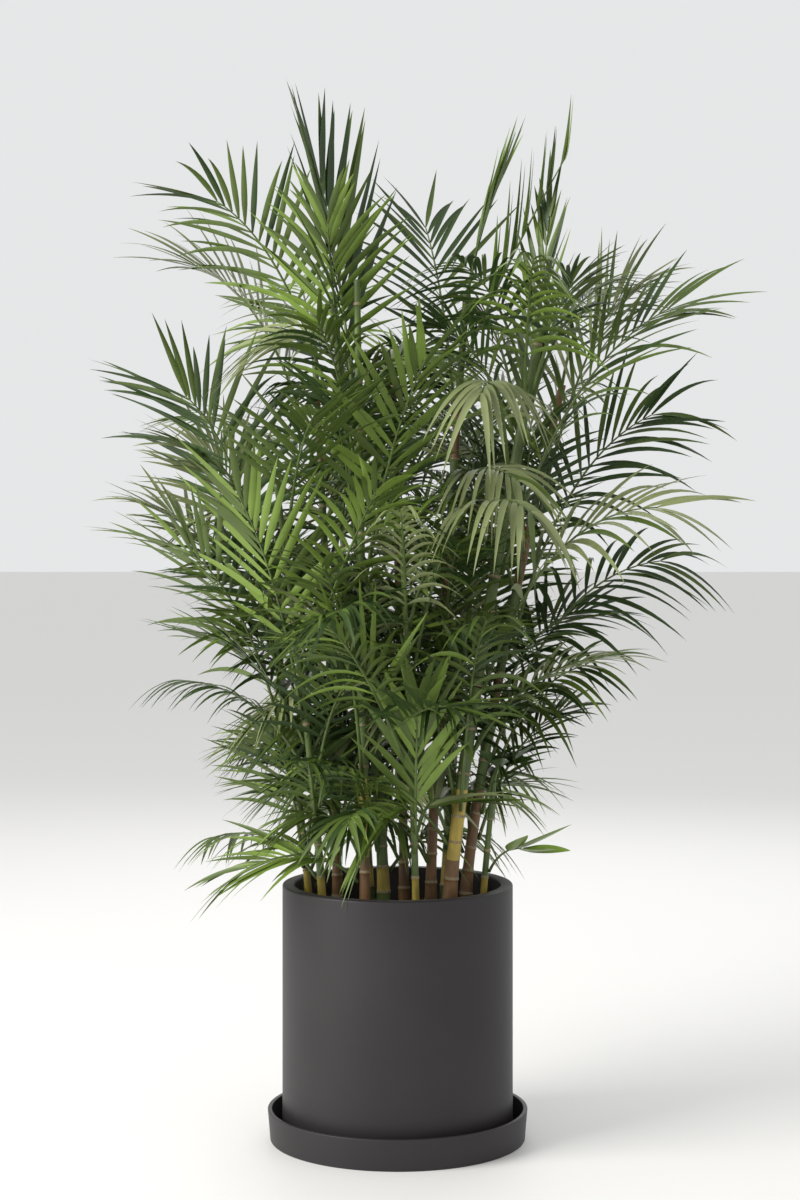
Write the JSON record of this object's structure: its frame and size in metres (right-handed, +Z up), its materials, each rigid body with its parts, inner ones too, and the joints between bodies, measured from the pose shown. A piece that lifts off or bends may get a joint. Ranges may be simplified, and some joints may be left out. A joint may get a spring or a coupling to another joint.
{
  "type": "potted bamboo palm",
  "caption": "Clump of slim leaning canes with feathery arching fronds, growing in a round matte pot that stands on a saucer.",
  "frame": {"origin": "centre of the saucer's flat underside, on the axis of the pot", "axes": "+Z up along the pot's axis, +X to the plant's right as the picture shows it, +Y to its back"},
  "size_m": [1.0399, 1.0248, 1.6742],
  "materials": {
    "pot": "matte",
    "saucer": "matte",
    "soil": "matte",
    "cane_green": "satin",
    "cane_yellow": "satin",
    "cane_brown": "satin",
    "leaf_dark": "satin",
    "leaf_mid": "satin",
    "leaf_fresh": "satin",
    "leaf_pale": "satin"
  },
  "bodies": {
    "root": {"cane_01": "cane_green", "cane_02": "cane_green", "cane_03": "cane_brown", "cane_04": "cane_yellow", "cane_05": "cane_green", "cane_06": "cane_brown", "cane_07": "cane_green", "cane_08": "cane_brown", "cane_09": "cane_yellow", "cane_10": "cane_brown", "cane_11": "cane_green", "cane_12": "cane_green", "cane_13": "cane_green", "frond_back_1": "leaf_mid", "frond_back_10": "leaf_mid", "frond_back_11": "leaf_mid", "frond_back_12": "leaf_mid", "frond_back_13": "leaf_mid", "frond_back_14": "leaf_mid", "frond_back_15": "leaf_mid", "frond_back_2": "leaf_mid", "frond_back_3": "leaf_mid", "frond_back_4": "leaf_mid", "frond_back_5": "leaf_mid", "frond_back_6": "leaf_mid", "frond_back_7": "leaf_mid", "frond_back_8": "leaf_mid", "frond_back_9": "leaf_mid", "frond_front_1": "leaf_pale", "frond_front_2": "leaf_pale", "frond_front_3": "leaf_fresh", "frond_front_4": "leaf_dark", "frond_front_5": "leaf_mid", "frond_front_6": "leaf_fresh", "frond_front_7": "leaf_mid", "frond_left_1": "leaf_mid", "frond_left_2": "leaf_pale", "frond_left_3": "leaf_dark", "frond_left_4": "leaf_pale", "frond_left_5": "leaf_fresh", "frond_left_6": "leaf_mid", "frond_left_7": "leaf_mid", "frond_left_8": "leaf_mid", "frond_right_1": "leaf_fresh", "frond_right_2": "leaf_mid", "frond_right_3": "leaf_pale", "frond_right_4": "leaf_mid", "frond_right_5": "leaf_dark", "frond_right_6": "leaf_pale", "frond_right_7": "leaf_dark", "frond_right_8": "leaf_mid", "frond_shoot_1": "leaf_fresh", "frond_shoot_2": "leaf_dark", "frond_top_1": "leaf_dark", "frond_top_2": "leaf_fresh", "frond_top_3": "leaf_dark", "frond_top_4": "leaf_fresh", "pot": "pot", "saucer": "saucer", "soil": "soil"}
  },
  "joints": []
}
